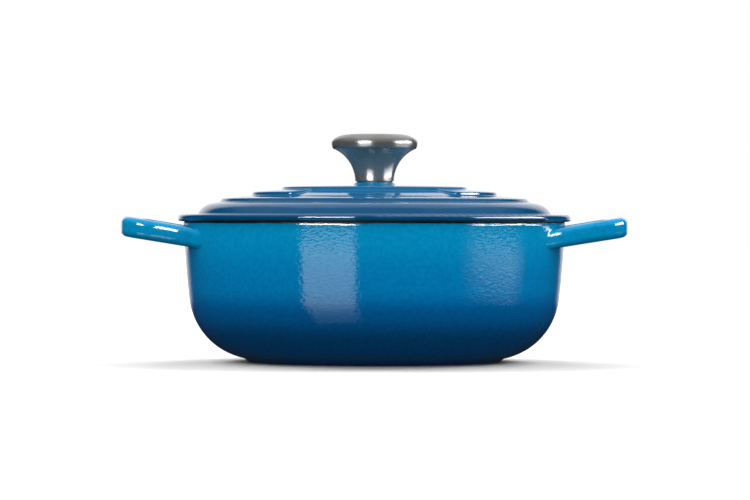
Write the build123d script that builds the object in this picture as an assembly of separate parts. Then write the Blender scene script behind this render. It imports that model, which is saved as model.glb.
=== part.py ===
"""Enamelled cast iron dutch oven: a low round pot, a stepped lid and a steel knob.

Millimetres, +Z up. The origin is on the standing plane under the middle of the pot, and the two
loop handles lie along X. The lid's lettering place faces -Y and is bare.
"""

import os
from math import asin, cos, hypot, radians, sin, sqrt, tan

from build123d import *

# Pot body
POT_HEIGHT = 93.0  # standing plane to the seat of the lid
RIM_RADIUS = 126.9  # outside of the wall at the rim
WALL_BOW_RADIUS = 598.0  # the wall bows out gently
WALL_BOW_RISE = 20.5  # how far above the rim the bowed wall would stand upright
CORNER_RADIUS = 45.0  # outside, between wall and base
INNER_CORNER_RADIUS = CORNER_RADIUS - 4.0  # inside, between wall and base
WALL = 4.2  # iron and both coats
BASE = 4.8  # iron and both coats
BASE_LIFT = 1.5  # standing plane to the underside of the base
RIM_ROUND = 1.1
ENAMEL = 0.5  # one coat
RIM_COAT_DEPTH = 0.9  # how far the black rim coat reaches down the wall

# Foot ring under the base
FOOT_RADIUS = RIM_RADIUS - 42.7  # outer edge of the ring it stands on
FOOT_WIDTH = 7.6
FOOT_RISE = 4.0  # the sloping sides run up into the base
FOOT_ROUND = 1.0

# Loop handles, cast with the pot
HANDLE_TIP = RIM_RADIUS + 41.6  # radius of the tips
HANDLE_TOP = POT_HEIGHT - 2.7  # height of the top at the rim radius
HANDLE_BOTTOM = HANDLE_TOP - 13.2  # height of the underside at the rim radius
HANDLE_TOP_SLOPE = 9.4  # degrees, rising outwards
HANDLE_BOTTOM_SLOPE = 9.0  # degrees, rising outwards
HANDLE_WIDTH = 90.0  # across the legs
HANDLE_TIP_SAG = 5.0  # how far the tip bows out beyond its corners
HANDLE_CORNER = 16.0  # rounding of the corners in plan
HANDLE_BAR = 13.6  # thickness of the loop in plan
HANDLE_ROUND = 4.4  # rounding of the loop's long edges
HANDLE_BLEND = 1.3  # fillet where the loop meets the wall
HANDLE_SWEEP = 52.0  # rounding in plan where the legs sweep out of the wall
HANDLE_ROOT = RIM_RADIUS - 36.0  # where the legs end inside the wall
HUB_RADIUS = RIM_RADIUS - 3.0  # the legs sweep out of a circle just inside the wall
OPENING_DEPTH = 4.0  # the opening's own outline runs this far into the wall
OPENING_CORNER = 10.0  # rounding of the opening in plan

# Screw and washer under the lid
SCREW_RADIUS = 3.0
SCREW_LENGTH = 18.0
SCREW_POINT = 0.6
SCREW_HEAD_RADIUS = 2 * SCREW_RADIUS
SCREW_HEAD_HEIGHT = 3.4
SCREW_HEAD_ROUND = 2.0
SLOT_WIDTH = 1.6
SLOT_DEPTH = 1.7
THREAD_CLEARANCE = 0.05  # screw in bush
WASHER_RADIUS = SCREW_HEAD_RADIUS + 2.0
WASHER_CLEARANCE = 0.3  # screw in washer
WASHER_BORE_RADIUS = SCREW_RADIUS + WASHER_CLEARANCE
WASHER_THICKNESS = 1.2
LID_BORE_CLEARANCE = 0.7  # screw in lid
LID_BORE_RADIUS = SCREW_RADIUS + LID_BORE_CLEARANCE

# Knob
STEM_FOOT_RADIUS = 12.9
STEM_FOOT_ROUND = 0.8
STEM_TOP_RADIUS = 26.5
STEM_HEIGHT = 21.4
STEM_WALL = 2.0
STEM_FLOOR = 4.0
SPIGOT_HEIGHT = 2.4  # the stem's collar inside the cap
SPIGOT_WIDTH = 1.8
GASKET_RADIUS = STEM_FOOT_RADIUS - 1.1
GASKET_THICKNESS = 0.6
CAP_HEIGHT = 10.0
CAP_EDGE_WIDTH = 2.2  # how far the cap stands out beyond the stem
CAP_RADIUS = STEM_TOP_RADIUS + CAP_EDGE_WIDTH
CAP_SHOULDER_WIDTH = 13.0  # the shoulder is part of an ellipse
CAP_SHOULDER_DROP = 6.0  # from the top down to where the cap is widest
CAP_TOP_WALL = 1.8
CAP_BORE_RADIUS = STEM_TOP_RADIUS - 3.8
CAP_BORE_ROUND = 3.0
BUSH_RADIUS = SCREW_RADIUS + 3.4
BUSH_TOP_RADIUS = BUSH_RADIUS - 0.4
FLANGE_CLEARANCE = 1.6  # between the bush's flange and the inside of the stem
BUSH_FLANGE_RADIUS = STEM_FOOT_RADIUS - STEM_WALL - FLANGE_CLEARANCE
BUSH_FLANGE_THICKNESS = 2.2
BUSH_LENGTH = 16.0
BUSH_END = 2.0  # metal left above the blind bore
BUSH_LIFT = 0.2  # the stem, not the bush, takes the clamping load
PRESS_CLEARANCE = 0.03  # bush in stem, spigot in cap

# Lid, heights above the seat
LID_RADIUS = RIM_RADIUS + 3.6
LID_EDGE_TOP = 4.5
LID_EDGE_BOTTOM = 0.6
LID_EDGE_ROUND = 1.0
LID_EDGE_CROWN = 2.2
SEAT_RADIUS = LID_RADIUS - 3.1
FLANGE_FOOT_RADIUS = LID_RADIUS - 12.9
FLANGE_FOOT_HEIGHT = LID_EDGE_TOP + 0.6
SHOULDER_RADIUS = LID_RADIUS - 17.1
SHOULDER_HEIGHT = FLANGE_FOOT_HEIGHT + 5.9
SHOULDER_ROUND = 12.5
OUTER_RING_FOOT_RADIUS = LID_RADIUS - 27.7
OUTER_RING_FOOT_HEIGHT = SHOULDER_HEIGHT + 2.1
OUTER_RING_RADIUS = LID_RADIUS - 29.1
OUTER_RING_HEIGHT = OUTER_RING_FOOT_HEIGHT + 2.1
TERRACE_RADIUS = LID_RADIUS - 46.5
TERRACE_HEIGHT = OUTER_RING_HEIGHT + 1.8
TERRACE_BLEND = 40.0
MIDDLE_RING_RADIUS = LID_RADIUS - 49.2
MIDDLE_RING_HEIGHT = TERRACE_HEIGHT + 2.6  # at its outer edge
MIDDLE_RING_INNER_HEIGHT = MIDDLE_RING_HEIGHT + 1.8  # where it meets the inner ring
MIDDLE_RING_GAP = 82.0  # degrees, the lettering place
MIDDLE_RING_END_ROUND = 5.0  # rounding of the two ends in plan
MIDDLE_RING_DEPTH = 2.0  # how far the ring's own shape is buried in the lid
INNER_RING_FOOT_RADIUS = LID_RADIUS - 68.3
INNER_RING_FOOT_HEIGHT = TERRACE_HEIGHT + 3.5
INNER_RING_RADIUS = LID_RADIUS - 69.6
INNER_RING_HEIGHT = INNER_RING_FOOT_HEIGHT + 2.6
RING_EDGE_ROUND = 1.5
RING_FOOT_ROUND = 0.9
BOSS_RADIUS = STEM_FOOT_RADIUS - 0.4
BOSS_FOOT_RADIUS = BOSS_RADIUS + 1.8
BOSS_FOOT_HEIGHT = INNER_RING_HEIGHT + 1.3
BOSS_FOOT_ROUND = 1.6
BOSS_HEIGHT = BOSS_FOOT_HEIGHT + 1.8
BOSS_ROUND = 0.9

# Underside of the lid, heights above the seat
LIP_CLEARANCE = 2.2  # between the locating lip and the wall
LIP_DEPTH = 4.5
LIP_WIDTH = 4.0
LIP_ROUND = 1.2
UNDER_SHOULDER_RADIUS = LID_RADIUS - 19.9
UNDER_SHOULDER_HEIGHT = SHOULDER_HEIGHT - 6.6
UNDER_SLOPE_RADIUS = LID_RADIUS - 32.9
UNDER_SLOPE_HEIGHT = OUTER_RING_HEIGHT - 5.4
UNDER_CROWN_RADIUS = LID_RADIUS - 72.5
UNDER_CROWN_HEIGHT = INNER_RING_HEIGHT - 5.5
UNDER_PAD_RADIUS = WASHER_RADIUS + 4.0  # flat pad for the washer
UNDER_PAD_HEIGHT = BOSS_HEIGHT - 6.6
UNDER_ROUND = 8.0
UNDER_CROWN_ROUND = 40.0
LID_COAT_SPLIT = 0.8  # the black coat covers all of the rim below this height

# Working values: room for cutting shapes to pass right through, and how near counts as the same place
OVERCUT = 20.0
NEAR = 0.01


def turned(section):
    """Solid of revolution about Z from a section drawn as (radius, height)."""
    return revolve(Plane.XZ * section, Axis.Z)


def drawn_in(section, inset):
    """The section with its whole outline moved inwards by inset."""
    return offset(section, -inset) if inset else section


def slab(low, high, radius):
    """Round slab between two heights, used to split coats."""
    return Pos(0, 0, low) * Cylinder(radius, high - low, align=(Align.CENTER, Align.CENTER, Align.MIN))


def by_width(shape):
    """The separate solids of a shape, narrowest first."""
    return sorted(shape.solids(), key=lambda solid: solid.bounding_box().size.X)


# Pot


def bowl(wall_inset, corner_radius, base_height, top_height):
    """Solid bowl: bowed wall, rounded corner, flat base."""
    bow_radius = WALL_BOW_RADIUS - wall_inset
    bow_r = RIM_RADIUS - sqrt(WALL_BOW_RADIUS**2 - WALL_BOW_RISE**2)
    bow_z = POT_HEIGHT + WALL_BOW_RISE
    reach = bow_radius - corner_radius
    drop = bow_z - base_height - corner_radius
    corner_r = bow_r + sqrt(reach**2 - drop**2)
    lean = asin(drop / reach)
    meet = (bow_r + bow_radius * cos(lean), bow_z - bow_radius * sin(lean))
    top = (bow_r + sqrt(bow_radius**2 - (bow_z - top_height) ** 2), top_height)
    outline = [
        Line((0, base_height), (corner_r, base_height)),
        TangentArc((corner_r, base_height), meet, tangent=(1, 0)),
        TangentArc(meet, top, tangent=(sin(lean), cos(lean))),
        Polyline(top, (0, top_height), (0, base_height)),
    ]
    return turned(make_face(outline))


def foot(inset):
    """Ring under the base with sloping sides."""
    inner = FOOT_RADIUS - FOOT_WIDTH
    outline = FilletPolyline(
        (inner - FOOT_RISE, FOOT_RISE),
        (inner, 0),
        (FOOT_RADIUS, 0),
        (FOOT_RADIUS + FOOT_RISE, FOOT_RISE),
        radius=[0, FOOT_ROUND, FOOT_ROUND, 0],
        close=True,
    )
    return turned(drawn_in(make_face(outline), inset))


def tongue(tip, half, corner_round):
    """Plan with straight sides and a bowed tip with round corners, running back to the root."""
    corner = tip - HANDLE_TIP_SAG
    outline = [
        Line((HANDLE_ROOT, -half), (corner, -half)),
        ThreePointArc((corner, -half), (tip, 0), (corner, half)),
        Polyline((corner, half), (HANDLE_ROOT, half), (HANDLE_ROOT, -half)),
    ]
    face = make_face(outline)
    return fillet(face.vertices().sort_by(Axis.X)[-2:], corner_round)


def handle_plan():
    """Plan of the loop: legs that sweep out of the wall, joined by a bowed tip."""
    half = HANDLE_WIDTH / 2
    outer = tongue(HANDLE_TIP, half, HANDLE_CORNER) + Circle(HUB_RADIUS)
    meets = [v for v in outer.vertices() if abs(hypot(v.X, v.Y) - HUB_RADIUS) < NEAR and v.X > HANDLE_ROOT]
    leg_end = HANDLE_TIP - HANDLE_TIP_SAG - HANDLE_CORNER
    longest = (leg_end**2 - HUB_RADIUS**2 + half**2) / (2 * (HUB_RADIUS - half))
    outer = fillet(meets, min(HANDLE_SWEEP, longest))  # the sweep ends on the straight of the leg
    outer = outer & Pos(HANDLE_ROOT) * Rectangle(HANDLE_TIP, 2 * HANDLE_TIP, align=(Align.MIN, Align.CENTER))
    opening = tongue(HANDLE_TIP - HANDLE_BAR, half - HANDLE_BAR, OPENING_CORNER)
    opening = opening - Circle(RIM_RADIUS - OPENING_DEPTH)
    return outer - fillet(opening.vertices().sort_by(Axis.X)[:2], OPENING_CORNER)


def handle(inset):
    """Loop handle on the +X side, its root buried in the wall."""
    near = HANDLE_ROOT - OVERCUT
    far = HANDLE_TIP + OVERCUT
    top = tan(radians(HANDLE_TOP_SLOPE))
    bottom = tan(radians(HANDLE_BOTTOM_SLOPE))
    side = make_face(
        Polyline(
            (near, HANDLE_BOTTOM + bottom * (near - RIM_RADIUS)),
            (far, HANDLE_BOTTOM + bottom * (far - RIM_RADIUS)),
            (far, HANDLE_TOP + top * (far - RIM_RADIUS)),
            (near, HANDLE_TOP + top * (near - RIM_RADIUS)),
            close=True,
        )
    )
    wedge = extrude(Plane.XZ * drawn_in(side, inset), far, both=True)
    loop = extrude(drawn_in(handle_plan(), inset), 2 * POT_HEIGHT) & wedge
    faces = loop.faces().sort_by(Axis.Z)
    edges = [e for e in faces[0].edges() + faces[-1].edges() if e.center().X > HANDLE_ROOT + inset + NEAR]
    return fillet(edges, HANDLE_ROUND - inset)


def pot_outside(inset):
    """Outside of the pot with both handles blended in and no hollow, drawn in by inset."""
    body = bowl(inset, CORNER_RADIUS - inset, BASE_LIFT + inset, POT_HEIGHT - inset)
    right = handle(inset)
    left = mirror(right, Plane.YZ)
    joined = body + [right, left]
    seams = new_edges(body, right, left, combined=joined)
    return fillet(seams, HANDLE_BLEND + inset) + foot(inset)


def pot(inset):
    """Whole pot with every surface drawn in by inset."""
    above = POT_HEIGHT + WALL_BOW_RISE / 2
    hollow = bowl(WALL - inset, INNER_CORNER_RADIUS + inset, BASE_LIFT + BASE - inset, above)
    shape = pot_outside(inset) - hollow
    top = POT_HEIGHT - inset
    level = shape.edges().filter_by_position(Axis.Z, top - NEAR, top + NEAR)
    return fillet(level.filter_by(GeomType.CIRCLE), RIM_ROUND - inset)


def pot_pieces():
    """Iron of the pot and its five coats."""
    iron = pot(ENAMEL)
    coat = pot(0) - iron
    rim_zone = slab(POT_HEIGHT - RIM_COAT_DEPTH, POT_HEIGHT + OVERCUT, RIM_RADIUS + HANDLE_BLEND)
    below = BASE_LIFT + 2 * ENAMEL
    foot_zone = slab(-OVERCUT, below, FOOT_RADIUS)
    underside_zone = slab(-OVERCUT, below, FOOT_RADIUS - FOOT_WIDTH - below)
    inner, outer = by_width(coat - rim_zone - foot_zone)
    return {
        "pot_casting": iron,
        "pot_outer_enamel": outer,
        "pot_inner_enamel": inner,
        "pot_rim_enamel": coat & rim_zone,
        "pot_foot_enamel": (coat & foot_zone) - underside_zone,
        "pot_underside_enamel": coat & underside_zone,
    }


# Lid


def lid_section(inset):
    """Section of the lid without its middle ring, from the bore outwards, drawn in by inset."""
    lip = RIM_RADIUS - WALL - LIP_CLEARANCE
    corners = [
        (-OVERCUT, BOSS_HEIGHT, 0),
        (BOSS_RADIUS, BOSS_HEIGHT, BOSS_ROUND),
        (BOSS_FOOT_RADIUS, BOSS_FOOT_HEIGHT, BOSS_FOOT_ROUND),
        (INNER_RING_RADIUS, INNER_RING_HEIGHT, RING_EDGE_ROUND),
        (INNER_RING_FOOT_RADIUS, INNER_RING_FOOT_HEIGHT, RING_FOOT_ROUND),
        (TERRACE_RADIUS, TERRACE_HEIGHT, TERRACE_BLEND),
        (OUTER_RING_RADIUS, OUTER_RING_HEIGHT, RING_EDGE_ROUND),
        (OUTER_RING_FOOT_RADIUS, OUTER_RING_FOOT_HEIGHT, RING_FOOT_ROUND),
        (SHOULDER_RADIUS, SHOULDER_HEIGHT, SHOULDER_ROUND),
        (FLANGE_FOOT_RADIUS, FLANGE_FOOT_HEIGHT, RING_FOOT_ROUND),
        (LID_RADIUS, LID_EDGE_TOP, LID_EDGE_CROWN),
        (LID_RADIUS, LID_EDGE_BOTTOM, LID_EDGE_ROUND),
        (SEAT_RADIUS, 0, LID_EDGE_ROUND),
        (lip, 0, RING_FOOT_ROUND),
        (lip, -LIP_DEPTH, LIP_ROUND),
        (lip - LIP_WIDTH, -LIP_DEPTH, LIP_ROUND),
        (UNDER_SHOULDER_RADIUS, UNDER_SHOULDER_HEIGHT, UNDER_ROUND),
        (UNDER_SLOPE_RADIUS, UNDER_SLOPE_HEIGHT, UNDER_CROWN_ROUND),
        (UNDER_CROWN_RADIUS, UNDER_CROWN_HEIGHT, UNDER_CROWN_ROUND),
        (UNDER_PAD_RADIUS, UNDER_PAD_HEIGHT, UNDER_CROWN_ROUND),
        (-OVERCUT, UNDER_PAD_HEIGHT, 0),
    ]
    points = [(r, h) for r, h, _ in corners]
    outline = FilletPolyline(*points, radius=[rounding for _, _, rounding in corners], close=True)
    beyond_bore = Pos(LID_BORE_RADIUS) * Rectangle(
        LID_RADIUS, LID_RADIUS, align=(Align.MIN, Align.CENTER)
    )
    return drawn_in(make_face(outline), inset) & beyond_bore


def middle_ring(inset):
    """Raised ring that stops short on both sides of the lettering place."""
    buried = INNER_RING_RADIUS - RING_EDGE_ROUND
    half = radians(MIDDLE_RING_GAP / 2)
    gap = make_face(
        Polyline(
            (0, 0),
            (LID_RADIUS * sin(half), -LID_RADIUS * cos(half)),
            (-LID_RADIUS * sin(half), -LID_RADIUS * cos(half)),
            close=True,
        )
    )
    plan = Circle(MIDDLE_RING_RADIUS) - Circle(buried) - gap
    ends = [v for v in plan.vertices() if v.Y < 0 and hypot(v.X, v.Y) > INNER_RING_FOOT_RADIUS]
    plan = drawn_in(fillet(ends, MIDDLE_RING_END_ROUND), inset)
    width = MIDDLE_RING_RADIUS - INNER_RING_FOOT_RADIUS
    fall = (MIDDLE_RING_INNER_HEIGHT - MIDDLE_RING_HEIGHT) / width
    outside = MIDDLE_RING_RADIUS + RING_EDGE_ROUND
    inside = buried - RING_EDGE_ROUND
    section = make_face(
        Polyline(
            (inside, MIDDLE_RING_HEIGHT + fall * (MIDDLE_RING_RADIUS - inside)),
            (outside, MIDDLE_RING_HEIGHT + fall * (MIDDLE_RING_RADIUS - outside)),
            (outside, TERRACE_HEIGHT - MIDDLE_RING_DEPTH),
            (inside, INNER_RING_FOOT_HEIGHT - MIDDLE_RING_DEPTH),
            close=True,
        )
    )
    raised = extrude(plan, LID_RADIUS) & turned(drawn_in(section, inset))
    top = max(raised.faces(), key=lambda face: face.normal_at().Z)
    edges = [e for e in top.edges() if hypot(e.center().X, e.center().Y) > INNER_RING_FOOT_RADIUS]
    return fillet(edges, RING_EDGE_ROUND - inset)


def lid(inset):
    """Whole lid with every surface but the bore drawn in by inset."""
    body = turned(lid_section(inset))
    raised = middle_ring(inset)
    joined = body + raised
    seams = new_edges(body, raised, combined=joined)
    return Pos(0, 0, POT_HEIGHT) * fillet(seams, RING_FOOT_ROUND + inset)


def lid_pieces():
    """Iron of the lid and its three coats."""
    iron = lid(ENAMEL)
    coat = lid(0) - iron
    rim_zone = slab(POT_HEIGHT - OVERCUT, POT_HEIGHT + LID_COAT_SPLIT, LID_RADIUS + OVERCUT)
    inner, outer = by_width(coat - rim_zone)
    return {
        "lid_casting": iron,
        "lid_outer_enamel": outer,
        "lid_inner_enamel": inner,
        "lid_rim_enamel": coat & rim_zone,
    }


# Knob, screw and washer


def ring(outer, inner, low, thickness):
    """Flat ring standing on a height."""
    section = Pos(inner, low) * Rectangle(outer - inner, thickness, align=(Align.MIN, Align.MIN))
    return turned(section)


def stem(low, high):
    """Flared hollow stem with a floor for the bush and a collar that fits inside the cap."""
    hole = BUSH_RADIUS + PRESS_CLEARANCE
    collar = CAP_BORE_RADIUS - PRESS_CLEARANCE
    inside = STEM_FOOT_RADIUS - STEM_WALL
    floor = low + STEM_FLOOR
    mouth = collar - SPIGOT_WIDTH
    outline = [
        Line((hole, low), (STEM_FOOT_RADIUS, low)),
        TangentArc((STEM_FOOT_RADIUS, low), (STEM_TOP_RADIUS, high), tangent=(0, 1)),
        Polyline(
            (STEM_TOP_RADIUS, high),
            (collar, high),
            (collar, high + SPIGOT_HEIGHT),
            (mouth, high + SPIGOT_HEIGHT),
            (mouth, high),
        ),
        TangentArc((inside, floor), (mouth, high), tangent=(0, 1)),
        Polyline((inside, floor), (hole, floor), (hole, low)),
    ]
    face = make_face(outline)
    foot_edge = face.vertices().sort_by_distance((STEM_FOOT_RADIUS, low))[0]
    return turned(fillet(foot_edge, STEM_FOOT_ROUND))


def cap(low):
    """Hollow cap with a flat top, a long shoulder and a rounded lower edge."""
    top = low + CAP_HEIGHT
    widest = top - CAP_SHOULDER_DROP
    flat = CAP_RADIUS - CAP_SHOULDER_WIDTH
    ceiling = top - CAP_TOP_WALL
    outline = [
        EllipticalCenterArc((flat, widest), CAP_SHOULDER_WIDTH, CAP_SHOULDER_DROP, arc_size=90),
        EllipticalCenterArc((STEM_TOP_RADIUS, widest), CAP_EDGE_WIDTH, widest - low, 270, arc_size=90),
        Polyline(
            (STEM_TOP_RADIUS, low),
            (CAP_BORE_RADIUS, low),
            (CAP_BORE_RADIUS, ceiling),
            (0, ceiling),
            (0, top),
            (flat, top),
        ),
    ]
    face = make_face(outline)
    bore_end = face.vertices().sort_by_distance((CAP_BORE_RADIUS, ceiling))[0]
    return turned(fillet(bore_end, CAP_BORE_ROUND))


def bush(low):
    """Flanged bush with a blind bore for the screw, let into the floor of the stem."""
    bore = SCREW_RADIUS + THREAD_CLEARANCE
    start = low + BUSH_LIFT
    floor = low + STEM_FLOOR
    end = start + BUSH_LENGTH
    outline = Polyline(
        (bore, start),
        (BUSH_RADIUS, start),
        (BUSH_RADIUS, floor),
        (BUSH_FLANGE_RADIUS, floor),
        (BUSH_FLANGE_RADIUS, floor + BUSH_FLANGE_THICKNESS),
        (BUSH_TOP_RADIUS, floor + BUSH_FLANGE_THICKNESS),
        (BUSH_TOP_RADIUS, end),
        (0, end),
        (0, end - BUSH_END),
        (bore, end - BUSH_END),
        close=True,
    )
    return turned(make_face(outline))


def screw(seat):
    """Slotted pan head screw pointing up, its head bearing on the given height."""
    low = seat - SCREW_HEAD_HEIGHT
    tip = seat + SCREW_LENGTH
    outline = FilletPolyline(
        (0, low),
        (SCREW_HEAD_RADIUS, low),
        (SCREW_HEAD_RADIUS, seat),
        (SCREW_RADIUS, seat),
        (SCREW_RADIUS, tip - SCREW_POINT),
        (SCREW_RADIUS - SCREW_POINT, tip),
        (0, tip),
        radius=[0, SCREW_HEAD_ROUND, 0, 0, 0, 0, 0],
        close=True,
    )
    slot = Pos(0, 0, low) * Box(3 * SCREW_HEAD_RADIUS, SLOT_WIDTH, 2 * SLOT_DEPTH)
    return turned(make_face(outline)) - slot


def knob_pieces():
    """Knob above the lid, and the screw and washer that hold it from below."""
    boss = POT_HEIGHT + BOSS_HEIGHT
    foot_height = boss + GASKET_THICKNESS
    cap_height = foot_height + STEM_HEIGHT
    washer = POT_HEIGHT + UNDER_PAD_HEIGHT - WASHER_THICKNESS
    return {
        "knob_gasket": ring(GASKET_RADIUS, LID_BORE_RADIUS, boss, GASKET_THICKNESS),
        "knob_stem": stem(foot_height, cap_height),
        "knob_cap": cap(cap_height),
        "knob_bush": bush(foot_height),
        "knob_screw": screw(washer),
        "screw_washer": ring(WASHER_RADIUS, WASHER_BORE_RADIUS, washer, WASHER_THICKNESS),
    }


os.makedirs("parts", exist_ok=True)
for name, piece in (pot_pieces() | lid_pieces() | knob_pieces()).items():
    (solid,) = piece.solids()
    export_step(solid, f"parts/{name}.step")
    print(f"{name}: {solid.volume / 1000:.2f} cm3")
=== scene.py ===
"""Looks of an enamelled cast iron dutch oven: finishes, knob screw and a plain white studio.

Metres, +Z up. The loop handles lie along X and the front of the pot faces -Y.
"""

import logging
import math
from collections.abc import Sequence
from dataclasses import dataclass, field, replace
from enum import Enum
from typing import ClassVar

import bmesh
import bpy
from mathutils import Matrix, Vector


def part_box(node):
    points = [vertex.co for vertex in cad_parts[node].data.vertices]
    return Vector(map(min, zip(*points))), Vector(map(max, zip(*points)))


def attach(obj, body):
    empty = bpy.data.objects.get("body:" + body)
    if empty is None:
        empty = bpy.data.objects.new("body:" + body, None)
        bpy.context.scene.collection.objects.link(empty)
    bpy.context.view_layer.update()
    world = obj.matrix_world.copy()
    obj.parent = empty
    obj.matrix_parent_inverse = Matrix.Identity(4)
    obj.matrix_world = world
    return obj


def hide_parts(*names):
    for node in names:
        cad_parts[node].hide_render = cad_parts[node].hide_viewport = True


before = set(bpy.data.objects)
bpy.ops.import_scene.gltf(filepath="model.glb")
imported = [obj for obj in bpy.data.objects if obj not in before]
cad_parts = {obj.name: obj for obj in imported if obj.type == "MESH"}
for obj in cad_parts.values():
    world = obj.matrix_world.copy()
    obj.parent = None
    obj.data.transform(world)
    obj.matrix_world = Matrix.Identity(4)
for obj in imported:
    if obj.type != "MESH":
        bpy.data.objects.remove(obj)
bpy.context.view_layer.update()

Colour = tuple[float, float, float]
Span = tuple[float, float]
Socket = bpy.types.NodeSocket
Setting = float | Sequence[float] | Socket
Inputs = dict[str | int, Setting]
Option = str | bpy.types.NodeTree
Chain = list[bmesh.types.BMVert | bmesh.types.BMEdge]

LOG = logging.getLogger("dutch_oven")
MM = 0.001
NEAR = 0.001 * MM
FULL_TURN = 2 * math.pi
LEVEL = 90.0  # degrees that tilt a camera or lamp from straight down to the horizon
Z_AXIS = Vector((0, 0, 1))
WHITE: Colour = (1.0, 1.0, 1.0)
GRIT: Colour = (0.2, 0.14, 0.08)
WHOLE: Span = (0.0, 1.0)
NOISE_MIDDLE = 0.5
NOISE_SPAN: Span = (0.3, 0.7)  # where most of a noise's values lie
RIM_BORDER = 91.8 * MM


class Body(Enum):
    """The bodies that new pieces ride on."""

    SCREW = "screw"


class Slot(Enum):
    """The record's material slots that new pieces take."""

    SCREW = "screw_steel"


class FadeAlong(Enum):
    """What the colour of an enamel follows."""

    HEIGHT = "height"
    RADIUS = "radius"


class Bench:
    """Places and wires the nodes of one shader tree."""

    def __init__(self, tree: bpy.types.NodeTree) -> None:
        """Empties the tree."""
        self.tree = tree
        tree.nodes.clear()

    def node(
        self, kind: str, inputs: Inputs | None = None, **options: Option
    ) -> bpy.types.Node:
        """Adds a node.

        Args:
            kind: Blender's name for the type of node.
            inputs: What its inputs take, as in feed.
            options: The node's own options.

        Returns:
            The new node.
        """
        node = self.tree.nodes.new(kind)
        for name, value in options.items():
            setattr(node, name, value)
        self.feed(node, inputs or {})
        return node

    def feed(self, node: bpy.types.Node, inputs: Inputs) -> None:
        """Fills a node's inputs.

        Args:
            node: The node.
            inputs: Values, or sockets to link from, by the input's name or number.
        """
        for name, value in inputs.items():
            if isinstance(value, Socket):
                self.tree.links.new(value, node.inputs[name])
            else:
                node.inputs[name].default_value = value

    def math(self, operation: str, *terms: Setting) -> Socket:
        """Adds a sum on plain values.

        Args:
            operation: Blender's name for the operation.
            terms: Its values or sockets.

        Returns:
            The result's socket.
        """
        return self.node("ShaderNodeMath", dict(enumerate(terms)), operation=operation).outputs[0]

    def rest(self, share: Setting) -> Socket:
        """Gives what a share leaves of one."""
        return self.math("SUBTRACT", 1.0, share)

    def times(self, vector: Setting, factor: Setting) -> Socket:
        """Multiplies a vector or a colour by a plain value.

        Args:
            vector: The vector's socket.
            factor: The value.

        Returns:
            The product's socket.
        """
        inputs = {"Vector": vector, "Scale": factor}
        return self.node("ShaderNodeVectorMath", inputs, operation="SCALE").outputs[0]

    def scaled(self, vector: Setting, size: Setting) -> Socket:
        """Measures a vector in units of a size.

        Args:
            vector: The vector's socket.
            size: Length of the new unit.

        Returns:
            The scaled vector's socket.
        """
        return self.times(vector, self.math("DIVIDE", 1.0, size))

    def ease(self, value: Setting, low: Setting, high: Setting) -> Socket:
        """Turns a value into a smooth step.

        Args:
            value: The value's socket.
            low: Where the step starts, at 0.
            high: Where the step ends, at 1.

        Returns:
            The step's socket.
        """
        inputs = {"Value": value, "From Min": low, "From Max": high}
        return self.node("ShaderNodeMapRange", inputs, interpolation_type="SMOOTHSTEP").outputs[0]

    def ramp(self, value: Setting, source: Span = WHOLE, target: Span = WHOLE) -> Socket:
        """Maps a value evenly from one span to another, and stops it at the ends.

        Args:
            value: The value's socket.
            source: The span that it comes from.
            target: The span that it goes to.

        Returns:
            The mapped value's socket.
        """
        inputs = {"Value": value, "From Min": source[0], "From Max": source[1]}
        inputs |= {"To Min": target[0], "To Max": target[1]}
        return self.node("ShaderNodeMapRange", inputs).outputs[0]

    def mix(self, share: Setting, first: Setting, second: Setting) -> Socket:
        """Mixes two colours.

        Args:
            share: How much of the second colour shows.
            first: The first colour.
            second: The second colour.

        Returns:
            The mixed colour's socket.
        """
        factor, a, b, result = 0, 6, 7, 2
        inputs = {factor: share, a: opaque(first), b: opaque(second)}
        return self.node("ShaderNodeMix", inputs, data_type="RGBA").outputs[result]

    def blend(self, share: Setting, first: Setting, second: Setting) -> Socket:
        """Mixes two plain values.

        Args:
            share: How much of the second value counts.
            first: The first value.
            second: The second value.

        Returns:
            The mixed value's socket.
        """
        factor, a, b = 0, 2, 3
        return self.node("ShaderNodeMix", {factor: share, a: first, b: second}).outputs[0]

    def noise(self, vector: Setting, detail: float, roughness: float = 0.5) -> Socket:
        """Adds smooth noise with features about one unit across.

        Args:
            vector: Where to read the noise.
            detail: Number of finer layers.
            roughness: Strength of the finer layers.

        Returns:
            The noise value's socket.
        """
        inputs = {"Vector": vector, "Scale": 1.0, "Detail": detail, "Roughness": roughness}
        return self.node("ShaderNodeTexNoise", inputs).outputs[0]

    def bump(self, height: Setting, depth: float) -> Socket:
        """Turns a relief into a normal.

        Args:
            height: The relief's socket.
            depth: How deep a relief of 1 is, in metres.

        Returns:
            The normal's socket.
        """
        inputs = {"Height": height, "Distance": depth, "Strength": 1.0}
        return self.node("ShaderNodeBump", inputs).outputs[0]

    def place(self) -> Socket:
        """Gives the place on the piece in metres."""
        return self.node("ShaderNodeTexCoord").outputs["Object"]

    def split(self, vector: Setting) -> tuple[Socket, Socket, Socket]:
        """Splits a vector.

        Args:
            vector: The vector's socket.

        Returns:
            Sockets of its three parts.
        """
        x, y, z = self.node("ShaderNodeSeparateXYZ", {"Vector": vector}).outputs
        return x, y, z

    def joined(self, *parts: Setting) -> Socket:
        """Makes a vector of three parts."""
        return self.node("ShaderNodeCombineXYZ", dict(enumerate(parts))).outputs[0]

    def radius(self, vector: Setting) -> Socket:
        """Measures the distance from the pot's axis.

        Args:
            vector: The place's socket.

        Returns:
            The distance's socket.
        """
        x, y, _ = self.split(vector)
        squares = self.math("ADD", self.math("MULTIPLY", x, x), self.math("MULTIPLY", y, y))
        return self.math("SQRT", squares)


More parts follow.
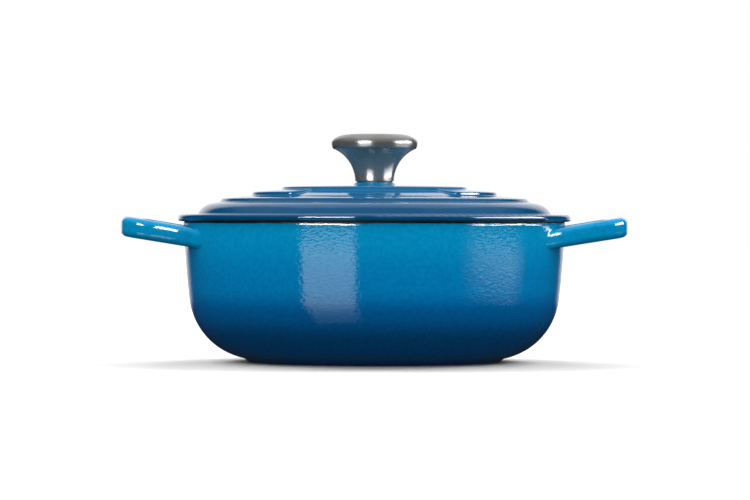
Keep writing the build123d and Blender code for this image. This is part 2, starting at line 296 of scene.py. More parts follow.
def opaque(colour: Setting) -> Setting:
    """Adds full alpha to a plain colour.

    Args:
        colour: A colour of three parts, or a socket.

    Returns:
        The colour with four parts, or the socket as it came.
    """
    return colour if isinstance(colour, Socket) else (*colour, 1.0)


@dataclass(frozen=True)
class Effect:
    """A shader node group that several finishes share.

    Beside the place on the piece it takes plain values, and it gives plain values.
    """

    name: str
    takes: ClassVar[tuple[str, ...]]
    gives: ClassVar[tuple[str, ...]]

    def wire(self, bench: Bench, given: bpy.types.NodeOutputs) -> dict[str, Socket]:
        """Wires the inside of the group.

        Args:
            bench: Bench of the group's tree.
            given: Sockets of the group's inputs.

        Returns:
            What each output takes.
        """
        raise NotImplementedError

    def tree(self) -> bpy.types.NodeTree:
        """Builds the group once.

        Returns:
            The group's tree.
        """
        made = bpy.data.node_groups.get(self.name)
        if made:
            return made
        tree = bpy.data.node_groups.new(self.name, "ShaderNodeTree")
        add = tree.interface.new_socket
        add(name="Place", in_out="INPUT", socket_type="NodeSocketVector")
        for side, names in (("INPUT", self.takes), ("OUTPUT", self.gives)):
            for name in names:
                add(name=name, in_out=side, socket_type="NodeSocketFloat")
        bench = Bench(tree)
        given = bench.node("NodeGroupInput").outputs
        bench.node("NodeGroupOutput", dict(self.wire(bench, given)))
        return tree

    def put(self, bench: Bench, **values: Setting) -> bpy.types.NodeOutputs:
        """Places the group in a material.

        Args:
            bench: Bench of the material's tree.
            values: Values or sockets for the group's inputs.

        Returns:
            The group's outputs.
        """
        return bench.node("ShaderNodeGroup", dict(values), node_tree=self.tree()).outputs


@dataclass(frozen=True)
class GlazeSkin(Effect):
    """Orange peel on a longer ripple, as fired glass has."""

    name: str = "glaze_skin"
    takes: ClassVar[tuple[str, ...]] = ("Peel", "Ripple", "Squeeze")
    gives: ClassVar[tuple[str, ...]] = ("Height", "Cloud")
    peel_share: ClassVar[float] = 0.5

    def wire(self, bench: Bench, given: bpy.types.NodeOutputs) -> dict[str, Socket]:
        """Adds a fine noise to a coarse one.

        Args:
            bench: Bench of the group's tree.
            given: The place, the sizes of the peel and the ripple, and how much both are
                pressed flat.

        Returns:
            The relief, and a soft cloud for the colour.
        """
        x, y, z = bench.split(given["Place"])
        place = bench.joined(x, y, bench.math("MULTIPLY", z, given["Squeeze"]))
        peel = bench.noise(bench.scaled(place, given["Peel"]), detail=1.0)
        ripple = bench.noise(bench.scaled(place, given["Ripple"]), detail=0.0)
        both = bench.math("ADD", bench.math("MULTIPLY", peel, self.peel_share), ripple)
        cloud = bench.noise(bench.scaled(given["Place"], given["Ripple"]), detail=0.0)
        return {"Height": both, "Cloud": cloud}


@dataclass(frozen=True)
class TurnedLines(Effect):
    """Fine rings round the axis, as a lathe or a belt leaves on turned metal."""

    name: str = "turned_lines"
    takes: ClassVar[tuple[str, ...]] = ("Pitch",)
    gives: ClassVar[tuple[str, ...]] = ("Lines",)
    drift: ClassVar[float] = 1.2

    def wire(self, bench: Bench, given: bpy.types.NodeOutputs) -> dict[str, Socket]:
        """Reads noise by radius and height, with a slow drift round the axis.

        Args:
            bench: Bench of the group's tree.
            given: The place and the spacing of the lines.

        Returns:
            The lines.
        """
        x, y, z = bench.split(given["Place"])
        bearing = bench.math("MULTIPLY", bench.math("ARCTAN2", y, x), self.drift)
        near = bench.math("DIVIDE", bench.radius(given["Place"]), given["Pitch"])
        high = bench.math("DIVIDE", z, given["Pitch"])
        where = bench.joined(near, high, bearing)
        return {"Lines": bench.noise(where, detail=3.0, roughness=0.7)}


@dataclass(frozen=True)
class Specks(Effect):
    """Scattered small specks, such as pinholes and grit fired into the glass."""

    name: str = "specks"
    takes: ClassVar[tuple[str, ...]] = ("Spacing", "Share")
    gives: ClassVar[tuple[str, ...]] = ("Mask",)
    largest: ClassVar[float] = 0.3

    def wire(self, bench: Bench, given: bpy.types.NodeOutputs) -> dict[str, Socket]:
        """Keeps some cells of a scatter and shrinks them to specks.

        Args:
            bench: Bench of the group's tree.
            given: The place, the spacing, and the share of places that hold a speck.

        Returns:
            A mask that is 1 on a speck.
        """
        place = bench.scaled(given["Place"], given["Spacing"])
        cells = bench.node("ShaderNodeTexVoronoi", {"Vector": place, "Scale": 1.0}).outputs
        pick, size, _ = bench.split(cells["Color"])
        kept = bench.math("LESS_THAN", pick, given["Share"])
        reach = bench.math("MULTIPLY", size, self.largest)
        spot = bench.rest(bench.ease(cells["Distance"], 0.0, reach))
        return {"Mask": bench.math("MULTIPLY", kept, spot)}


@dataclass(frozen=True)
class BrokenEdge(Effect):
    """A hand-wiped border at a height, which wavers round the rim."""

    name: str = "broken_edge"
    takes: ClassVar[tuple[str, ...]] = ("Height", "Waver", "Length", "Softness")
    gives: ClassVar[tuple[str, ...]] = ("Mask", "Level")

    def wire(self, bench: Bench, given: bpy.types.NodeOutputs) -> dict[str, Socket]:
        """Moves the border up and down with noise.

        Args:
            bench: Bench of the group's tree.
            given: The place, the border's height, how far it wavers, over what length, and
                how soft it is.

        Returns:
            A mask that is 1 above the border, and the height above it.
        """
        _, _, z = bench.split(given["Place"])
        wave = bench.noise(bench.scaled(given["Place"], given["Length"]), detail=2.0)
        swing = bench.math("SUBTRACT", wave, NOISE_MIDDLE)
        shift = bench.math("MULTIPLY", swing, given["Waver"])
        level = bench.math("SUBTRACT", bench.math("ADD", z, shift), given["Height"])
        return {"Mask": bench.ease(level, 0.0, given["Softness"]), "Level": level}


@dataclass(frozen=True)
class Fade:
    """Colours of an enamel along a height or a radius, each at its place in metres."""

    along: FadeAlong
    stops: tuple[tuple[float, Colour], ...]

    def colour(self, bench: Bench, place: Socket) -> Socket:
        """Wires the fade.

        Args:
            bench: Bench of the material's tree.
            place: The place on the piece.

        Returns:
            The colour's socket.
        """
        start, end = self.stops[0][0], self.stops[-1][0]
        by_height = self.along is FadeAlong.HEIGHT
        value = bench.split(place)[2] if by_height else bench.radius(place)
        ramp = bench.node("ShaderNodeValToRGB", {"Fac": bench.ramp(value, (start, end))})
        ramp.color_ramp.interpolation = "EASE"
        elements = ramp.color_ramp.elements
        while len(elements) < len(self.stops):
            elements.new(0.5)  # the loop below moves it
        for element, (at, colour) in zip(elements, self.stops):
            element.position = (at - start) / (end - start)
            element.color = opaque(colour)
        return ramp.outputs[0]


@dataclass(frozen=True)
class Border:
    """Where black rim coat meets the colour."""

    height: float
    waver: float = 1.0 * MM
    length: float = 16 * MM
    softness: float = 0.25 * MM
    reach: float = 200 * MM
    bead_width: float = 1.3 * MM
    bead_depth: float = 0.0
    black_above: bool = True
    black: Colour = (0.004, 0.004, 0.005)


@dataclass(frozen=True)
class Glaze:
    """Glossy fired enamel."""

    name: str
    fade: Fade
    border: Border | None = None
    gloss: float = 0.06
    peel: float = 3.4 * MM
    ripple: float = 11 * MM
    squeeze: float = 1.0
    depth: float = 0.05 * MM
    calm_from: float | None = None
    calm_width: float = 4 * MM
    calm_share: float = 0.93
    # share of painted shade that darkens the handles' colour
    handle_painted_shade: float = 0.12
    speck_spacing: float = 4.5 * MM
    speck_share: float = 0.05
    speck_and_shade: Colour = (0.0, 0.03, 0.06)
    speck_strength: float = 0.35
    cloud: float = 0.06

    def material(self) -> bpy.types.Material:
        """Builds the material.

        Returns:
            The material.
        """
        material, bench, shader = new_material(self.name)
        place = bench.place()
        skin = GlazeSkin().put(
            bench, Place=place, Peel=self.peel, Ripple=self.ripple, Squeeze=self.squeeze
        )
        specks = Specks().put(
            bench, Place=place, Spacing=self.speck_spacing, Share=self.speck_share
        )
        speckled = bench.math("MULTIPLY", specks["Mask"], self.speck_strength)
        colour = self.clouded(bench, self.fade.colour(bench, place), skin["Cloud"])
        colour = bench.mix(speckled, colour, self.speck_and_shade)
        height = skin["Height"]
        if self.calm_from:
            colour, height = self.calmed_and_shaded(bench, colour, height, place)
        if self.border:
            colour, bead = self.bordered(bench, colour, place)
            height = bench.math("SUBTRACT", height, bead)
        normal = bench.bump(height, self.depth)
        bench.feed(shader, {"Base Color": colour, "Roughness": self.gloss, "Normal": normal})
        return material

    def clouded(self, bench: Bench, colour: Setting, cloud: Setting) -> Socket:
        """Varies the depth of colour a little, as a sprayed coat does.

        Args:
            bench: Bench of the material's tree.
            colour: The even colour.
            cloud: Soft noise from 0 to 1.

        Returns:
            The varied colour's socket.
        """
        level = bench.ramp(cloud, NOISE_SPAN, (1 - self.cloud, 1 + self.cloud))
        return bench.times(colour, level)

    def calmed_and_shaded(
        self, bench: Bench, colour: Setting, height: Setting, place: Setting
    ) -> tuple[Socket, Socket]:
        """Lets the coat lie smoother out on the handles, and paints shade on them by darkening
        their colour a little.

        Args:
            bench: Bench of the material's tree.
            colour: The enamel's colour.
            height: The height of its skin.
            place: The place on the piece.

        Returns:
            The colour and the height.
        """
        calm_at = self.calm_from + self.calm_width
        out = bench.ease(bench.radius(place), self.calm_from, calm_at)
        left = bench.rest(bench.math("MULTIPLY", out, self.calm_share))
        # painted shade: the handles' colour is pulled a little towards the dark speck colour
        colour = bench.mix(bench.math("MULTIPLY", out, self.handle_painted_shade), colour, self.speck_and_shade)
        return colour, bench.math("MULTIPLY", height, left)

    def bordered(self, bench: Bench, colour: Setting, place: Setting) -> tuple[Socket, Socket]:
        """Lets the rim's black run a little over the colour, which thins out to it in a bead.

        Args:
            bench: Bench of the material's tree.
            colour: The enamel's colour.
            place: The place on the piece.

        Returns:
            The colour with its border, and how far the coat sinks there.
        """
        edge = self.border
        line = BrokenEdge().put(
            bench,
            Place=place,
            Height=edge.height,
            Waver=edge.waver,
            Length=edge.length,
            Softness=edge.softness,
        )
        black = line["Mask"] if edge.black_above else bench.rest(line["Mask"])
        far = bench.ease(bench.radius(place), edge.reach - edge.bead_width, edge.reach)
        near = bench.rest(far)
        bead = bench.ease(line["Level"], -edge.bead_width, 0.0)
        sink = bench.math("MULTIPLY", bead, edge.bead_depth / self.depth)
        colour = bench.mix(bench.math("MULTIPLY", black, near), colour, edge.black)
        return colour, bench.math("MULTIPLY", sink, near)


@dataclass(frozen=True)
class MattGlaze:
    """Matt black enamel of the rims and the foot."""

    name: str
    colour: Colour = (0.006, 0.006, 0.007)
    worn: Colour = (0.025, 0.025, 0.027)
    worn_span: Span = (0.35, 0.75)
    gloss: float = 0.42
    grain: float = 1.2 * MM
    patch: float = 9 * MM
    depth: float = 0.02 * MM

    def material(self) -> bpy.types.Material:
        """Builds the material.

        Returns:
            The material.
        """
        material, bench, shader = new_material(self.name)
        skin = GlazeSkin().put(
            bench, Place=bench.place(), Peel=self.grain, Ripple=self.patch, Squeeze=1.0
        )
        shade = bench.ease(skin["Cloud"], *self.worn_span)
        colour = bench.mix(shade, self.colour, self.worn)
        normal = bench.bump(skin["Height"], self.depth)
        bench.feed(shader, {"Base Color": colour, "Roughness": self.gloss, "Normal": normal})
        return material


@dataclass(frozen=True)
class TurnedMetal:
    """Bare metal with fine rings from turning or brushing."""

    name: str
    bright: Colour
    dark: Colour
    smooth: float
    rough: float
    pitch: float = 0.35 * MM
    depth: float = 0.004 * MM
    along: float = 0.0
    across: float = 0.25
    metallic: float = 1.0

    def material(self) -> bpy.types.Material:
        """Builds the material.

        Returns:
            The material.
        """
        material, bench, shader = new_material(self.name)
        lines = TurnedLines().put(bench, Place=bench.place(), Pitch=self.pitch)["Lines"]
        streak = bench.ease(lines, *NOISE_SPAN)
        bench.feed(
            shader,
            {
                "Base Color": bench.mix(streak, self.dark, self.bright),
                "Roughness": bench.ramp(streak, target=(self.rough, self.smooth)),
                "Metallic": self.metallic,
                "Anisotropic": self.along,
                "Anisotropic Rotation": self.across,
                "Normal": bench.bump(lines, self.depth),
            },
        )
        if self.along:
            round_axis = bench.node("ShaderNodeTangent", direction_type="RADIAL", axis="Z")
            bench.feed(shader, {"Tangent": round_axis.outputs[0]})
        return material


@dataclass(frozen=True)
class Grainy:
    """Dull material with a fine grain, such as raw iron or rubber."""

    name: str
    light: Colour
    dark: Colour
    gloss: float
    grain: float
    depth: float
    metallic: float = 0.0
    patch_grains: int = 4
    light_span: Span = (0.4, 0.9)

    def material(self) -> bpy.types.Material:
        """Builds the material.

        Returns:
            The material.
        """
        material, bench, shader = new_material(self.name)
        patch = self.patch_grains * self.grain
        skin = GlazeSkin().put(
            bench, Place=bench.place(), Peel=self.grain, Ripple=patch, Squeeze=1.0
        )
        shade = bench.ease(skin["Height"], *self.light_span)
        bench.feed(
            shader,
            {
                "Base Color": bench.mix(shade, self.dark, self.light),
                "Roughness": self.gloss,
                "Metallic": self.metallic,
                "Normal": bench.bump(skin["Height"], self.depth),
            },
        )
        return material


def new_material(name: str) -> tuple[bpy.types.Material, Bench, bpy.types.Node]:
    """Starts a material.

    Args:
        name: Name of the finish.

    Returns:
        The material, its bench and its surface shader.
    """
    material = bpy.data.materials.new(name)
    material.use_nodes = True
    bench = Bench(material.node_tree)
    shader = bench.node("ShaderNodeBsdfPrincipled")
    bench.node("ShaderNodeOutputMaterial", {"Surface": shader.outputs[0]})
    return material, bench, shader


def placed(name: str, mesh: bmesh.types.BMesh) -> bpy.types.Object:
    """Puts a finished mesh in the scene.

    Args:
        name: Name of the piece.
        mesh: Its mesh, in place, which is freed.

    Returns:
        The new object, at the origin.
    """
    data = bpy.data.meshes.new(name)
    mesh.to_mesh(data)
    mesh.free()
    made = bpy.data.objects.new(name, data)
    bpy.context.scene.collection.objects.link(made)
    return made


def merged(piece: bpy.types.Object, extra: bmesh.types.BMesh) -> None:
    """Adds a mesh to a piece.

    Args:
        piece: The piece.
        extra: The mesh, which is freed.
    """
    added = bpy.data.meshes.new("added")
    extra.to_mesh(added)
    extra.free()
    mesh = bmesh.new()
    mesh.from_mesh(piece.data)
    mesh.from_mesh(added)
    mesh.to_mesh(piece.data)
    mesh.free()
    bpy.data.meshes.remove(added)


def smooth(piece: bpy.types.Object, corner: float) -> None:
    """Shades a piece smooth except at its corners.

    Args:
        piece: The piece.
        corner: Angle from which an edge stays crisp.
    """
    piece.data.shade_smooth()
    piece.data.set_sharp_from_angle(angle=corner)


def drawn(mesh: bmesh.types.BMesh, points: Sequence[tuple[float, float]]) -> Chain:
    """Draws a section as a chain of edges.

    Args:
        mesh: The mesh to draw in.
        points: Radius and height of each point.

    Returns:
        The chain's points and edges.
    """
    verts = [mesh.verts.new((radius, 0.0, height)) for radius, height in points]
    edges = [mesh.edges.new(pair) for pair in zip(verts, verts[1:])]
    return [*verts, *edges]


def turn(mesh: bmesh.types.BMesh, sides: int) -> None:
    """Turns a drawn section about the axis.

    Args:
        mesh: The mesh that holds only the section.
        sides: Number of sides of the round piece.
    """
    bmesh.ops.spin(
        mesh,
        geom=[*mesh.verts, *mesh.edges],
        axis=Z_AXIS,
        cent=Vector(),
        angle=FULL_TURN,
        steps=sides,
        use_merge=True,
    )
    bmesh.ops.remove_doubles(mesh, verts=mesh.verts, dist=NEAR)
    bmesh.ops.recalc_face_normals(mesh, faces=mesh.faces)


def at_ring(vert: bmesh.types.BMVert, radius: float, height: float) -> bool:
    """Tells whether a point lies on a ring round the axis.

    Args:
        vert: The point.
        radius: Radius of the ring.
        height: Height of the ring.

    Returns:
        True on the ring.
    """
    across = abs(math.hypot(vert.co.x, vert.co.y) - radius)
    return across < NEAR and abs(vert.co.z - height) < NEAR


@dataclass(frozen=True)
class Smoothing:
    """Shading of a fixed node: its faces flow together, and only real corners stay crisp."""

    near: float = 0.002 * MM
    corner: float = math.radians(40)
    weight: int = 50

    def add(self, piece: bpy.types.Object) -> None:
        """Adds live modifiers, which leave the node's own mesh alone.

        Args:
            piece: The node's object.
        """
        weld = piece.modifiers.new("joined", "WELD")
        weld.merge_threshold = self.near
        split = piece.modifiers.new("corners", "EDGE_SPLIT")
        split.split_angle = self.corner
        split.use_edge_sharp = False
        even = piece.modifiers.new("even", "WEIGHTED_NORMAL")
        even.mode = "FACE_AREA_WITH_ANGLE"
        even.weight = self.weight


def dress(node: str, material: bpy.types.Material) -> None:
    """Gives a fixed node its finish and smooth shading.

    Args:
        node: Name of the node.
        material: Its finish.
    """
    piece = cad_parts[node]
    piece.data.materials.clear()
    piece.data.materials.append(material)
    Smoothing().add(piece)
    LOG.info("%s: %s", node, material.name)


@dataclass
class Pot:
    """The pot: an iron casting under a blue, a sand-coloured and a black enamel."""

    blue: Glaze = Glaze(
        "pot_blue",
        Fade(
            FadeAlong.HEIGHT,
            (
                # darker towards the foot; the stop at 5 mm, lighter than the one at 17 mm, is
                # painted fill light on the low curve of the belly
                (0.0, (0.0, 0.02, 0.07)),
                (5 * MM, (0.0, 0.07, 0.22)),
                (17 * MM, (0.0, 0.063, 0.195)),
                (34 * MM, (0.0, 0.104, 0.315)),
                (52 * MM, (0.0, 0.205, 0.49)),
                (90 * MM, (0.0, 0.305, 0.61)),
            ),
        ),
        Border(RIM_BORDER, reach=128.4 * MM, bead_depth=0.12 * MM),
        peel=1.1 * MM,
        ripple=2.6 * MM,
        squeeze=1.8,
        depth=0.07 * MM,
        calm_from=128 * MM,
    )
    sand: Glaze = Glaze(
        "pot_sand",
        Fade(FadeAlong.HEIGHT, ((0.0, (0.72, 0.62, 0.46)), (90 * MM, (0.76, 0.67, 0.52)))),
        Border(RIM_BORDER),
        speck_and_shade=GRIT,
    )
    black: MattGlaze = MattGlaze("rim_black")
    iron: Grainy = Grainy(
        "cast_iron",
        light=(0.12, 0.12, 0.125),
        dark=(0.05, 0.05, 0.052),
        gloss=0.6,
        grain=1.5 * MM,
        depth=0.06 * MM,
        metallic=0.6,
    )

    def build(self) -> None:
        """Dresses the casting and its coats."""
        blue, black = self.blue.material(), self.black.material()
        dress("pot_casting", self.iron.material())
        dress("pot_outer_enamel", blue)
        dress("pot_underside_enamel", blue)
        dress("pot_inner_enamel", self.sand.material())
        dress("pot_rim_enamel", black)
        dress("pot_foot_enamel", black)


@dataclass
class Lid:
    """The lid: an iron casting under a dark blue, a sand-coloured and a black enamel."""

    blue: Glaze = Glaze(
        "lid_blue",
        Fade(
            FadeAlong.RADIUS,
            (
                (12 * MM, (0.0, 0.17, 0.36)),
                (55 * MM, (0.0, 0.115, 0.27)),
                (100 * MM, (0.002, 0.072, 0.175)),
                (130 * MM, (0.0, 0.06, 0.16)),
            ),
        ),
        Border(93.9 * MM, waver=0.3 * MM, black_above=False),
        depth=0.03 * MM,
    )
    sand: Glaze = Glaze(
        "lid_sand",
        Fade(FadeAlong.RADIUS, ((0.0, (0.74, 0.64, 0.48)), (120 * MM, (0.72, 0.62, 0.46)))),
        speck_and_shade=GRIT,
    )
    black: MattGlaze = MattGlaze("lid_black")
    iron: Grainy = replace(Pot.iron, name="lid_iron")

    def build(self) -> None:
        """Dresses the casting and its coats."""
        dress("lid_casting", self.iron.material())
        dress("lid_outer_enamel", self.blue.material())
        dress("lid_inner_enamel", self.sand.material())
        dress("lid_rim_enamel", self.black.material())


@dataclass
class Knob:
    """The knob: a brushed cap on a flared stem, with its bush and gasket."""

    cap: TurnedMetal = TurnedMetal(
        "brushed_cap",
        bright=(0.27, 0.266, 0.26),
        dark=(0.17, 0.167, 0.163),
        smooth=0.24,
        rough=0.3,
        along=0.8,
        metallic=0.62,
    )
    stem: TurnedMetal = TurnedMetal(
        "satin_stem",
        bright=(0.34, 0.328, 0.31),
        dark=(0.28, 0.27, 0.255),
        smooth=0.2,
        rough=0.25,
        depth=0.001 * MM,
        metallic=0.7,
    )
    bush: TurnedMetal = TurnedMetal(
        "brass", bright=(0.75, 0.55, 0.25), dark=(0.6, 0.42, 0.18), smooth=0.25, rough=0.4
    )
    gasket: Grainy = Grainy(
        "gasket_rubber",
        light=(0.02, 0.02, 0.02),
        dark=(0.008, 0.008, 0.008),
        gloss=0.6,
        grain=0.5 * MM,
        depth=0.02 * MM,
    )

    def build(self) -> None:
        """Dresses the knob's pieces."""
        dress("knob_cap", self.cap.material())
        dress("knob_stem", self.stem.material())
        dress("knob_bush", self.bush.material())
        dress("knob_gasket", self.gasket.material())


@dataclass
class Fastening:
    """The threaded screw and the washer that hold the knob from below."""

    head_radius: float = 6.0 * MM
    head_height: float = 3.4 * MM
    head_round: float = 2.0 * MM
    slot_width: float = 1.6 * MM
    slot_depth: float = 1.7 * MM
    cutter_radii: int = 3
    crest: float = 2.98 * MM
    root: float = 2.46 * MM
    pitch: float = 1.0 * MM
    root_flat: float = 0.12 * MM
    crest_flat: float = 0.12 * MM
    spare_turns: int = 2
    lead: float = 0.8 * MM
    lead_scale: float = 0.86
    sides: int = 48
    head_segments: int = 6
    smooth_angle: float = math.radians(35)
    steel: TurnedMetal = TurnedMetal(
        "screw_steel",
        bright=(0.6, 0.6, 0.61),
        dark=(0.45, 0.45, 0.46),
        smooth=0.22,
        rough=0.34,
        pitch=0.2 * MM,
    )

    def build(self) -> None:
        """Builds the screw and dresses the washer."""
        steel = self.steel.material()
        dress("screw_washer", steel)
        low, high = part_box("knob_screw")
        seat = low[2] + self.head_height
        screw = placed("knob_screw_threaded", self.head(low[2]))
        self.cut_slot(screw, low[2])
        merged(screw, self.thread(seat, high[2]))
        screw.data.materials.clear()
        screw.data.materials.append(steel)
        smooth(screw, self.smooth_angle)
        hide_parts("knob_screw")
        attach(screw, Body.SCREW.value)
        LOG.info("knob_screw_threaded: %s", steel.name)

    def head(self, low: float) -> bmesh.types.BMesh:
        """Spins the pan head.

        Args:
            low: Height of the head's underside.

        Returns:
            The head's mesh.
        """
        top = low + self.head_height
        corner = (self.head_radius, low)
        mesh = bmesh.new()
        drawn(mesh, [(0.0, low), corner, (self.head_radius, top), (0.0, top)])
        turn(mesh, self.sides)
        sharp = [e for e in mesh.edges if all(at_ring(v, *corner) for v in e.verts)]
        bmesh.ops.bevel(
            mesh,
            geom=sharp,
            offset=self.head_round,
            segments=self.head_segments,
            profile=0.5,
            affect="EDGES",
            material=-1,
        )
        bmesh.ops.recalc_face_normals(mesh, faces=mesh.faces)
        return mesh

    def thread(self, seat: float, tip: float) -> bmesh.types.BMesh:
        """Winds the thread, cuts it to length and thins its first turn.

        Args:
            seat: Height where the head ends.
            tip: Height of the screw's tip.

        Returns:
            The thread's mesh.
        """
        turns = math.ceil((tip - seat) / self.pitch) + self.spare_turns
        flank = (self.pitch - 2 * self.root_flat - self.crest_flat) / 2
        start = seat - self.pitch
        crest_from = self.root_flat + flank
        rises = (0.0, self.root_flat, crest_from, crest_from + self.crest_flat)
        rises += (self.pitch - self.root_flat, self.pitch)
        radii = (self.root, self.root, self.crest, self.crest, self.root, self.root)
        coil = bmesh.new()
        profile = drawn(coil, list(zip(radii, (start + rise for rise in rises))))
        bmesh.ops.spin(
            coil,
            geom=profile,
            axis=Z_AXIS,
            cent=Vector(),
            dvec=Z_AXIS * (self.pitch / self.sides),
            angle=FULL_TURN * turns,
            steps=self.sides * turns,
        )
        bmesh.ops.remove_doubles(coil, verts=coil.verts, dist=NEAR)
        for height, keep in ((seat - self.root_flat, 1), (tip, -1)):
            bmesh.ops.bisect_plane(
                coil,
                geom=[*coil.verts, *coil.edges, *coil.faces],
                dist=NEAR,
                plane_co=Z_AXIS * height,
                plane_no=Z_AXIS * -keep,
                clear_outer=True,
            )
        bmesh.ops.holes_fill(coil, edges=[edge for edge in coil.edges if edge.is_boundary])
        first = [vert for vert in coil.verts if vert.co.z > tip - self.lead]
        bmesh.ops.scale(coil, verts=first, vec=(self.lead_scale, self.lead_scale, 1.0))
        bmesh.ops.recalc_face_normals(coil, faces=coil.faces)
        return coil

    def cut_slot(self, screw: bpy.types.Object, low: float) -> None:
        """Cuts the driver slot across the head.

        Args:
            screw: The screw.
            low: Height of the head's underside.
        """
        block = bmesh.new()
        length, height = self.cutter_radii * self.head_radius, 2 * self.slot_depth
        size = Matrix.Diagonal((length, self.slot_width, height, 1.0))
        bmesh.ops.create_cube(block, size=1.0, matrix=Matrix.Translation(Z_AXIS * low) @ size)
        cutter = placed("slot_cutter", block)
        cut = screw.modifiers.new("slot", "BOOLEAN")
        cut.object = cutter
        cut.operation = "DIFFERENCE"
        cut.solver = "EXACT"
        shape = screw.evaluated_get(bpy.context.evaluated_depsgraph_get())
        slotted = bpy.data.meshes.new_from_object(shape)
        screw.modifiers.clear()
        screw.data = slotted
        bpy.data.objects.remove(cutter)


@dataclass(frozen=True)
class Panel:
    """An upright lamp panel in front of the pot, seen only in its gloss.

    Angles are in degrees: turns count from the camera's side to the right, and rises from
    the horizon.
    """

    name: str
    turns: Span
    rises: Span
    strengths: Span
    tint: Colour = WHITE
    curve: float = 1.0
    soft: float = 0.5
    distance: float = 2.0
    columns: int = 24

    def build(self) -> None:
        """Builds the panel as part of a drum round the pot."""
        low, high = (self.distance * math.tan(math.radians(rise)) for rise in self.rises)
        start, end = (math.radians(bearing) for bearing in self.turns)
        mesh = bmesh.new()
        foot = Matrix.Rotation(start, 4, "Z") @ Vector((0, -self.distance, low))
        rod = [mesh.verts.new(foot), mesh.verts.new(foot + Z_AXIS * (high - low))]
        bmesh.ops.spin(
            mesh,
            geom=[*rod, mesh.edges.new(rod)],
            axis=Z_AXIS,
            cent=Vector(),
            angle=end - start,
            steps=self.columns,
            use_merge=False,
        )
        panel = placed(self.name, mesh)
        panel.data.materials.append(self.glow(low, high))
        panel.visible_camera = panel.visible_diffuse = panel.visible_shadow = False

    def glow(self, low: float, high: float) -> bpy.types.Material:
        """Builds the light, which changes from foot to top and dies away at the sides.

        Args:
            low: Height of the panel's foot.
            high: Height of its top.

        Returns:
            The material.
        """
        material = bpy.data.materials.new(self.name)
        material.use_nodes = True
        bench = Bench(material.node_tree)
        x, y, z = bench.split(bench.place())
        weak, strong = self.strengths
        share = bench.math("POWER", bench.ramp(z, (low, high)), self.curve)
        level = bench.math("ADD", bench.math("MULTIPLY", share, strong - weak), weak)
        bearing = bench.math("ARCTAN2", x, bench.math("MULTIPLY", y, -1.0))
        start, end, soft = (math.radians(angle) for angle in (*self.turns, self.soft))
        begun = bench.ease(bearing, start, start + soft)
        ended = bench.ease(bearing, end - soft, end)
        level = bench.math("MULTIPLY", level, bench.math("SUBTRACT", begun, ended))
        lamp = bench.node("ShaderNodeEmission", {"Color": opaque(self.tint), "Strength": level})
        bench.node("ShaderNodeOutputMaterial", {"Surface": lamp.outputs[0]})
        return material


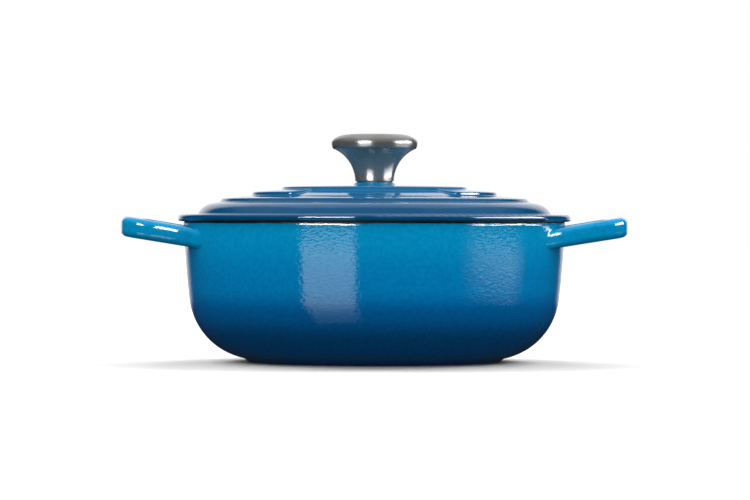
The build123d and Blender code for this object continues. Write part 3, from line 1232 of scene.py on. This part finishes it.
@dataclass
class Studio:
    """Floor, white surround, lamp panels and the camera.

    The spans say where parts of the surround start and end, in parts of a unit direction.
    """

    floor_half: float = 12.0
    floor_grey: Colour = (0.25, 0.25, 0.25)
    wash_turns: Span = (-38.0, 38.0)
    wash_light: float = 12.0
    wash_rise: float = 35.0
    wash_spread: float = 46.0
    horizon: float = 1.35
    zenith: float = 0.4
    below: float = 0.22
    from_right: float = 0.16
    dark: float = 0.012
    overhead: float = 0.35
    wall_side_span: Span = (0.3, 0.5)
    wall_front_span: Span = (0.0, 0.2)
    wall_foot_span: Span = (-0.1, 0.0)
    ceiling_span: Span = (0.45, 0.75)
    horizon_span: Span = (-0.1, 0.1)
    eye: Vector = field(default_factory=lambda: Vector((0.0004, -2.655, 0.093)))
    pitch_down: float = 0.406
    roll: float = 0.12
    lens: float = 191.5
    sensor: float = 36.0
    sight: float = 100.0
    spill_tint: ClassVar[Colour] = (0.88, 1.0, 0.94)
    left_turns: ClassVar[Span] = (-43.5, -10.7)
    lamp_rises: ClassVar[Span] = (8.0, 33.0)
    panels: tuple[Panel, ...] = (
        Panel("left_spill", left_turns, (-45.0, -3.0), (0.35, 3.6), spill_tint, curve=3.0),
        Panel("left_lamp", left_turns, lamp_rises, (28.0, 28.0)),
        Panel(
            "right_spill",
            (50.0, 104.0),
            (-16.0, -3.0),
            (0.0, 3.6),
            spill_tint,
            curve=4.0,
            soft=18.0,
        ),
        Panel("right_lamp", (57.0, 118.0), lamp_rises, (24.0, 12.0), soft=6.0),
    )

    def build(self) -> None:
        """Sets up the whole studio."""
        self.floor()
        self.world()
        for panel in self.panels:
            panel.build()
        self.camera()
        bpy.context.scene.view_settings.view_transform = "Standard"

    def floor(self) -> None:
        """Lays a plain grey floor, which gloss doesn't see and which is clear from below."""
        mesh = bmesh.new()
        bmesh.ops.create_grid(mesh, x_segments=1, y_segments=1, size=self.floor_half)
        floor = placed("floor", mesh)
        material, bench, shader = new_material("floor_grey")
        matt = {"Roughness": 1.0, "Specular IOR Level": 0.0}
        bench.feed(shader, {"Base Color": opaque(self.floor_grey)} | matt)
        below = bench.node("ShaderNodeNewGeometry").outputs["Backfacing"]
        clear = bench.node("ShaderNodeBsdfTransparent").outputs[0]
        sides = {"Fac": below, 1: shader.outputs[0], 2: clear}
        surface = bench.node("ShaderNodeMixShader", sides).outputs[0]
        bench.feed(bench.tree.nodes["Material Output"], {"Surface": surface})
        floor.data.materials.append(material)
        floor.visible_glossy = floor.visible_diffuse = False
        self.wash(floor)

    def wash(self, floor: bpy.types.Object) -> None:
        """Washes the floor alone white from behind, so that the shadow falls to the front.

        Args:
            floor: The floor.
        """
        lit = bpy.data.collections.new("floor_only")
        lit.objects.link(floor)
        data = bpy.data.lights.new("floor_wash", "SUN")
        data.energy = self.wash_light
        data.angle = math.radians(self.wash_spread)
        tilt = math.radians(self.wash_rise - LEVEL)
        for bearing in self.wash_turns:
            lamp = bpy.data.objects.new("floor_wash", data)
            lamp.rotation_euler = (tilt, 0, math.radians(bearing))
            lamp.light_linking.receiver_collection = lit
            bpy.context.scene.collection.objects.link(lamp)

    def world(self) -> None:
        """Makes a soft white surround; gloss sees only its wall behind and a dim ceiling."""
        world = bpy.data.worlds.new("studio")
        world.use_nodes = True
        bpy.context.scene.world = world
        bench = Bench(world.node_tree)
        rays = bench.node("ShaderNodeLightPath").outputs
        side, back, up = bench.split(bench.node("ShaderNodeTexCoord").outputs["Generated"])
        beside = bench.ease(bench.math("ABSOLUTE", side), *self.wall_side_span)
        behind = bench.ease(back, *self.wall_front_span)
        wall = bench.math("MULTIPLY", behind, bench.rest(beside))
        wall = bench.math("MULTIPLY", wall, bench.ease(up, *self.wall_foot_span))
        ceiling = bench.math("MULTIPLY", bench.ease(up, *self.ceiling_span), self.overhead)
        gloss = bench.math("MAXIMUM", bench.math("MAXIMUM", wall, ceiling), self.dark)
        rise = bench.math("MULTIPLY", bench.math("MAXIMUM", up, 0.0), self.zenith)
        slant = bench.math("MULTIPLY", side, self.from_right)
        soft = bench.math("ADD", bench.math("ADD", rise, self.horizon), slant)
        soft = bench.blend(bench.ease(up, *self.horizon_span), self.below, soft)
        seen = bench.blend(rays["Is Glossy Ray"], soft, gloss)
        level = bench.blend(rays["Is Camera Ray"], seen, 1.0)
        light = bench.node("ShaderNodeBackground", {"Color": opaque(WHITE), "Strength": level})
        bench.node("ShaderNodeOutputWorld", {"Surface": light.outputs[0]})

    def camera(self) -> None:
        """Places the camera level with the rim, far away."""
        data = bpy.data.cameras.new("camera")
        data.lens = self.lens
        data.sensor_width = self.sensor
        data.clip_end = self.sight
        camera = bpy.data.objects.new("camera", data)
        camera.location = self.eye
        tilt = math.radians(LEVEL - self.pitch_down)
        camera.rotation_euler = (tilt, math.radians(-self.roll), 0)
        bpy.context.scene.collection.objects.link(camera)
        bpy.context.scene.camera = camera


def main() -> None:
    """Builds the sub-assemblies in order."""
    logging.basicConfig(level=logging.INFO, format="%(message)s")
    for assembly in (Studio(), Pot(), Lid(), Knob(), Fastening()):
        assembly.build()


if __name__ == "__main__":
    main()
